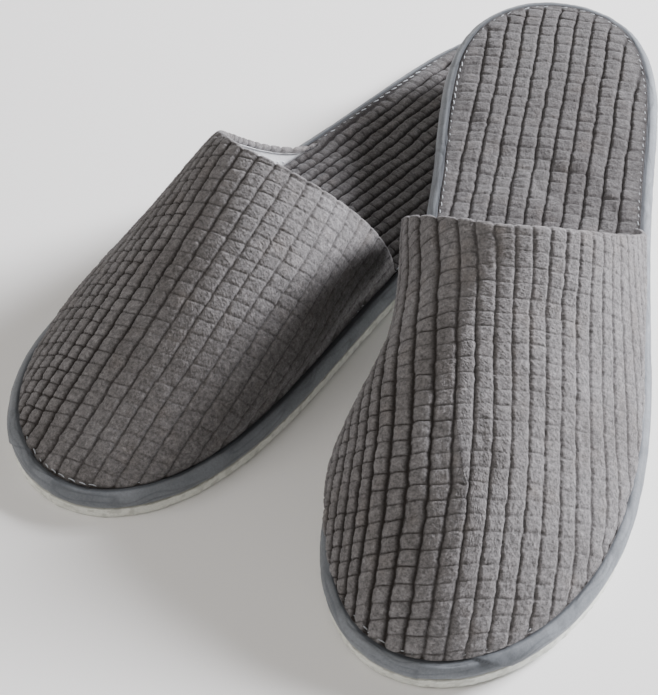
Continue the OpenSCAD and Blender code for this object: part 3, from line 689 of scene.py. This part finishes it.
def make_binding(which, seed):
    n = 900; t, per = ring_t(n); s = np.arange(n)*per/n
    prof = np.array([[1.5, board_z + .05], [.75, board_z], [.1, board_z + .15], [-.22, board_z + .7], [-.32, board_z + 1.4], [-.25, board_z + 2.1],
                     [0., board_z + 2.8], [.45, board_z + 3.45], [1.1, rim_z - .35], [1.9, rim_z - .05], [2.7, rim_z + .05], [3.4, rim_z - .02],
                     [3.95, rim_z - .2], [4.4, rim_z - .42], [4.62, rim_z - .75], [4.5, rim_z - 1.15], [3.9, rim_z - 1.25], [2.6, rim_z - 1.1], [1.6, rim_z - 1.1], [1.45, rim_z - 2.4]])
    # refine the profile
    k = np.arange(len(prof) + 1); P2 = np.concatenate([prof, prof[:1]]); kk = np.linspace(0, len(prof), 3*len(prof) + 1)[:-1]
    pr = np.stack([np.interp(kk, k, P2[:, 0]), np.interp(kk, k, P2[:, 1])], 1)
    for _ in range(2): pr = .25*np.roll(pr, 1, 0) + .5*pr + .25*np.roll(pr, -1, 0)
    m = len(pr); w = kk/len(prof)
    outer = np.clip(np.minimum((w - .03)/.1, (.72 - w)/.06), 0, 1)
    pn = np.roll(pr, -1, 0) - np.roll(pr, 1, 0); pn = np.stack([pn[:, 1], -pn[:, 0]], 1); pn = unit(pn)
    cen = pr.mean(0); pn = np.where((((pr - cen)*pn).sum(1) < 0)[:, None], -pn, pn)
    S, W = np.meshgrid(s, w, indexing="ij")
    toe = np.exp(-(np.minimum(s, per - s)/60.)**2) + np.exp(-((s - per/2)/50.)**2)
    amp = (.12 + .24*toe)[:, None]
    n1 = table_noise(S*.05 + 5, W*9 + table_noise(S*.11, W*2, seed + 6), seed); n2 = table_noise(S*.075, W*15, seed + 4)
    dsp = .13*n1 - .17*np.exp(-(n1/.13)**2)*(.4 + 2.*amp) - .09*np.exp(-(n2/.1)**2) + amp*.28*table_noise(S*.3 + W*1.6, W*2.2, seed + 3) + .04*table_noise(S*1.5, W*9, seed + 1) + .12*table_noise(S*.05, W*1.5, seed + 2)
    pitch = 3.2; hole = np.abs(((S/pitch) % 1) - .5)*pitch      # stitch holes
    inner = np.exp(-((W - .66)/.035)**2)
    dsp = dsp - .34*inner*np.exp(-(hole/.6)**2) - .16*inner
    # lap join at the toe: one end lies over the other, cut on the slant
    s0 = 18.; q = (S - s0 + (W - .4)*26.)
    lap = np.where(q > 0, .55*np.exp(-np.clip(q, 0, 90)/16.), 0)*smooth(q/.35)
    dsp = (dsp + lap)*outer
    x = np.zeros_like(S); y = np.zeros_like(S); z = np.zeros_like(S)
    for j in range(m):
        d = pr[j, 0] + dsp[:, j]*pn[j, 0]
        x[:, j], y[:, j] = rim(t, d); z[:, j] = pr[j, 1] + dsp[:, j]*pn[j, 1]
    V = np.stack([x, y, z], -1)
    V = np.concatenate([V, V[:1]], 0)
    # painted shade on the tape: the stitch-hole line, the edge of the lap join, the wrinkle creases, the inner zone
    # where it meets the fabric and the underside edge
    gr = np.clip(inner*.55 + .6*np.exp(-((q)/.35)**2) + .4*np.exp(-(n1/.12)**2) + .95*smooth((W - .45)/.05), 0, 1)*outer; gr = np.clip(gr + np.where(W < .08, .7, 0), 0, 1); gr = np.concatenate([gr, gr[:1]], 0)
    ob = build(which + "_binding_tape", V.reshape(-1, 3), [grid_faces(n + 1, m, 0, True)], which, TAPE, {"groove": gr.ravel()}, flip=False)
    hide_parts(which + "_edge_binding")
    tp = np.linspace(0, 2*np.pi, 3000); x, y = rim(tp, 4.2); path = np.stack([x, y, rim_z + .72 - .6*smooth((y - 110)/60)], 1)
    nx, ny = nrm(tp); nor = unit(np.stack([-.55*nx, -.55*ny, np.full_like(nx, .84)], 1))
    stitches(which + "_binding_stitches", path, nor, which, 3.3, 2.75, .2, "binding_stitching", THREAD)
    return ob


def cap(t, cols, d, zf, base):
    """Sheet of cross strips between the two edges of the sole, inset by d."""
    xa, ya = rim(t, d); xb, yb = rim(-t, d)
    w = np.linspace(0, 1, cols)[None]
    X = xb[:, None]*(1 - w) + xa[:, None]*w; Y = yb[:, None]*(1 - w) + ya[:, None]*w
    return X, Y


def make_outsole(which, seed):
    th = np.unique(np.concatenate([np.linspace(0, np.pi, 420), s2t(np.arange(28, 268, .55))]))
    n = len(th); tr = np.concatenate([th, 2*np.pi - th[::-1][1:-1]])
    m = len(tr); xr, yr = rim(tr, 0); s = np.concatenate([[0], np.cumsum(np.hypot(np.diff(xr), np.diff(yr)))])
    pz = np.array([0., .12, .45, 1.0, 1.6, 2.1, 2.6, 3.2, 3.6, 3.88, 4.0]); pd = np.array([1.0, .62, .38, .28, .3, .34, .3, .27, .34, .55, .95])
    S, Z = np.meshgrid(s, pz, indexing="ij")
    rough = .18*table_noise(S*.35, Z*1.2, seed) + .15*table_noise(S*1.1, Z*2.2, seed + 1)
    V = np.zeros((m, len(pz), 3))
    for j in range(len(pz)):
        x, y = rim(tr, pd[j] + rough[:, j]*(0 if j in (0, 10) else 1)); V[:, j] = np.stack([x, y, np.full_like(x, pz[j])], 1)
    V = np.concatenate([V, V[:1]], 0)
    # groove mask on the foam sole: painted shade along the top of the side under the tape, plus random darker patches
    Vs = [V.reshape(-1, 3)]; Fs = [grid_faces(m + 1, len(pz))]; G = [np.clip(np.where(Z > 3.5, .85, 0) + .35*(table_noise(S*.5, Z*.8, seed + 5) > .45), 0, 1)]; G[0] = np.concatenate([G[0], G[0][:1]], 0).ravel()
    base = (m + 1)*len(pz)
    for top in (False, True):
        cols = 5 if top else 22
        X, Y = cap(th, cols, .95 if top else 1.0, None, 0)
        if top: Zc = np.full_like(X, 4.)
        else:
            g = np.zeros_like(Y)
            for a, b in ((32, 156), (206, 262)):
                ph = np.clip(Y, a, b + 1.6); inb = (Y > a - .6) & (Y < b + 2.)
                f = ((Y - a) % 8.); dd = np.where(f < 4, f, f - 8) - .8
                g = np.maximum(g, np.where(inb, 1 - smooth((np.abs(dd) - .45)/.5), 0))
            Zc = .7*g + 0.
            edge = np.minimum(np.linspace(0, 1, cols), 1 - np.linspace(0, 1, cols))[None]
            Zc = Zc*smooth(edge*30)
        Vs.append(np.stack([X, Y, Zc], -1).reshape(-1, 3)); f = grid_faces(len(th), cols, base); Fs.append(f[:, ::-1] if top else f)
        # the tread grooves underneath get painted shade
        G.append((.0 + .8*(Zc/.7 if not top else 0*Zc)).ravel()); base += X.size
    ob = build(which + "_foam_sole", np.concatenate(Vs), Fs, which, EVA, {"groove": np.concatenate(G)}, flip=False)
    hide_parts(which + "_outsole")
    return ob


def make_insole(which, seed, phase_u, phase_v, pitch, row, y_dense, insole_shade):
    a = s2t(np.arange(0, y_dense, 2.5)); b = s2t(np.arange(y_dense, L - 14, .55)); c = np.linspace(b[-1], np.pi, 70)[1:]
    th = np.unique(np.concatenate([np.linspace(0, a[-1], 60), a, b, c])); cols = 250
    d0 = BINDW + .12
    X, Y = cap(th, cols, d0, None, 0)
    # distance to the sole's edge, across and at the ends
    xa, ya = rim(th, d0); xb, yb = rim(-th, d0)
    W = np.linspace(0, 1, cols)[None]*np.ones((len(th), 1)); half = np.hypot(xa - xb, ya - yb)[:, None]/2
    de = np.minimum(W, 1 - W)*2*half
    dend = np.minimum(Y - d0, L - d0 - Y)
        # true distance near the rounded ends: sample the outline
    tq = np.linspace(0, 2*np.pi, 1500); xq, yq = rim(tq, d0)
    near = (dend < 22)
    pts = np.stack([X[near], Y[near]], 1); dist = np.empty(len(pts))
    for i in range(0, len(pts), 4000):
        q = pts[i:i + 4000]; dist[i:i + 4000] = np.sqrt(((q[:, None, 0] - xq[None])**2 + (q[:, None, 1] - yq[None])**2).min(1))
    de[near] = dist
    # padding under the cover, pinned round its edge
    sh = .5*np.hypot(xb - xa, yb - ya); ci = np.linspace(0, np.pi, 47)[1:-1]; cc = 13; CX, CY = cap(ci, cc, d0, None, 0)
    P0 = np.stack([CX, CY, np.full_like(CX, rim_z)], -1).reshape(-1, 3); pin = np.zeros(CX.shape, bool); pin[:, [0, -1]] = True; pin[[0, -1]] = True
    Dz = swell(which + "_insole_net", P0, grid_faces(len(ci), cc)[:, ::-1].tolist(), pin.ravel(), 2.2, 1.0, .012).reshape(len(ci), cc, 3)[..., 2]
    Dz = Dz - .7*Dz[2:-2, 2:-2].mean()*(~pin)
    puffz = bicubic(Dz[..., None], np.broadcast_to(np.interp(th, ci, np.arange(len(ci)))[:, None], X.shape), W*(cc - 1))[..., 0]
    # the last argument sets the insole's shade: grooves cut deeper and wider and painted darker
    h, g = waffle(X + phase_u, Y + phase_v, seed, pitch, row, deep=.56, cross=.34 - .24*insole_shade, sg=.42, sc=.3, shade=insole_shade)
    lift = 1 - np.exp(-de/3.2)
    crown = .55*(1 - np.exp(-de/14.))
    soft = .22*table_noise(X*.05, Y*.05, seed + 3) + np.clip(puffz, -.5, .9) + .045*np.random.default_rng(seed + 9).standard_normal(X.shape)
    Z = rim_z + .1 + .62*lift + crown + h*(.25 + .75*smooth(de/3.)) + soft*lift + .08*table_noise(X*.6, Y*.6, seed + 4)
    Z = np.maximum(Z, rim_z + .1 - .8*smooth(de/2. - .6))
    # the edge of the cover swells over the tape
    gxm = np.gradient(-de, axis=1)/np.maximum(np.hypot(np.gradient(X, axis=1), np.gradient(Y, axis=1)), 1e-6)
    cxm, cym = X.mean(1, keepdims=True), Y.mean(1, keepdims=True); near_end = smooth((22 - dend)/16)
    vx = np.sign(X - cxm)*(1 - near_end) + near_end*(X - cxm); vy = near_end*np.where(Y > L/2, 1., -1.)*np.maximum(26 - dend, 0)
    vn = np.maximum(np.hypot(vx, vy), 1e-6); push = (LAP - .1 + .45*smooth((Y - 110)/50))*np.exp(-(de/1.9)**2)
    X = X + push*vx/vn; Y = Y + push*vy/vn
    # painted shade: the groove mask darkens the cover's edge against the tape
    g = np.clip(g + .9*np.exp(-(de/.8)**2), 0, 1)
    Vs = [np.stack([X, Y, Z], -1).reshape(-1, 3)]; Fs = [grid_faces(len(th), cols)[:, ::-1]]; G = [g.ravel()]; base = X.size
    # edge turned back under, side wall and underside
    Xb, Yb = cap(th, 5, d0 + .02, None, 0)
    # the turned-back edge and its lip get full painted shade
    Vs.append(np.stack([Xb, Yb, np.full_like(Xb, cover_z)], -1).reshape(-1, 3)); Fs.append(grid_faces(len(th), 5, base)); G.append(np.ones(Xb.size))
    r = np.arange(len(th)); lip = base + Xb.size
    for s_, (top, bot) in enumerate(((0, 0), (cols - 1, 4))):
        Vs.append(np.stack([Xb[:, bot], Yb[:, bot], np.full(len(th), rim_z + .02)], -1)); G.append(np.ones(len(th)))
        a_, b_, l_ = r*cols + top, base + r*5 + bot, lip + s_*len(th) + r
        for p_, q_ in ((a_, l_), (l_, b_)):
            f = np.stack([p_[:-1], q_[:-1], q_[1:], p_[1:]], 1); Fs.append(f[:, ::-1] if top == 0 else f)
    ob = build(which + "_insole_pad", np.concatenate(Vs), Fs, which, FLEECE_INSOLE_SHADED, {"groove": np.concatenate(G)})
    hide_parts(which + "_insole_cover")
    return ob


RIBS = spread([-57.1, -53.1, -49.1, -45.1, -41.1, -37.1, -31.9, -26., -19.9, -14.1, -8.6, -3.1, 2.3, 7.8, 13.2, 18.65, 23.9, 29.2, 34.55, 39.65, 45.2, 51.], 5.35)
for which, c, seed in (("left", LEFT, 11), ("right", RIGHT, 47)):
    make_outsole(which, seed)
    make_binding(which, seed + 100)
    # the far slipper's insole gets more of the shade treatment, with more painted shade in its grooves
    make_insole(which, seed + 200, 0., 0., 5.8 if which == "left" else 4.6, 4.8 if which == "left" else 4.4, 88., .2 if which == "left" else .85)
    if which == "left": make_upper(which, c, 420, 210, 0., 0., seed + 300, 5.35, 4.5, (.291, .0013, -.22), RIBS)
    else: make_upper(which, c, 420, 210, 0., 0., seed + 300, 5.75, 4.3, (0., 0., .2))

# the plain layers inside keep their CAD solids
for w in ("left", "right"):
    for node, mat in (("insole_board", BOARD_M), ("insole_foam", SPONGE)):
        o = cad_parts[w + "_" + node]
        if not o.material_slots: o.data.materials.append(mat)
        for sl in o.material_slots: sl.material = mat

# ------------------------------------------------------------------ floor, light, camera
fl = bpy.data.meshes.new("floor")
R_ = 3.0
fl.from_pydata([(-R_, -R_, -.0002), (R_, -R_, -.0002), (R_, R_, -.0002), (-R_, R_, -.0002)], [], [(0, 1, 2, 3)])
floor = bpy.data.objects.new("floor", fl); bpy.context.scene.collection.objects.link(floor)
fm_, nt_, b_, co_ = mat_new("floor_white")
col_ = cmix(nt_, (.90, .90, .90), (.93, .93, .93), noise(nt_, co_, 4., 2.)); nt_.links.new(col_, b_.inputs["Base Color"])
b_.inputs["Roughness"].default_value = .8; b_.inputs["Specular IOR Level"].default_value = .1
fl.materials.append(fm_)


def area(name, loc, target, size, power, color=(1, 1, 1)):
    ld = bpy.data.lights.new(name, 'AREA'); ld.shape = 'RECTANGLE'; ld.size = size[0]; ld.size_y = size[1]; ld.energy = power; ld.color = color
    o = bpy.data.objects.new(name, ld); bpy.context.scene.collection.objects.link(o)
    o.location = loc; o.rotation_mode = 'QUATERNION'; o.rotation_quaternion = (Vector(target) - Vector(loc)).to_track_quat('-Z', 'Y')
    return o


world = bpy.data.worlds.new("studio"); bpy.context.scene.world = world; world.use_nodes = True
bg = world.node_tree.nodes.get("Background") or world.node_tree.nodes.new("ShaderNodeBackground")
bg.inputs[0].default_value = (1., .958, .905, 1); bg.inputs[1].default_value = .39

AZ, EL, DIST, FPX = 24.5, 41.82, .67315, 2152.9
a, e = math.radians(AZ), math.radians(EL)
fwd = Vector((-math.sin(a)*math.cos(e), math.cos(a)*math.cos(e), -math.sin(e)))
right = Vector((math.cos(a), math.sin(a), 0))
tgt = Vector((-.01637, -.03455, 0))
ka, ke = math.radians(22), math.radians(26)
fh = Vector((fwd.x, fwd.y, 0)).normalized()
kd = (right*math.cos(ka) + fh*math.sin(ka))*math.cos(ke) + Vector((0, 0, math.sin(ke)))
area("key", tgt + kd*1.5, tgt, (.6, .45), 86., (.975, .972, 1.))
area("fill", tgt - right*1.0 - fh*.5 + Vector((0, 0, .9)), tgt, (1.2, .9), 8., (1., .95, .9))

cd = bpy.data.cameras.new("camera"); cam = bpy.data.objects.new("camera", cd); bpy.context.scene.collection.objects.link(cam)
cd.sensor_width = 36.; cd.lens = FPX*36./695.; cd.clip_start = .01; cd.clip_end = 20.
cam.location = tgt - fwd*DIST; cam.rotation_mode = 'QUATERNION'; cam.rotation_quaternion = fwd.to_track_quat('-Z', 'Y')
bpy.context.scene.camera = cam
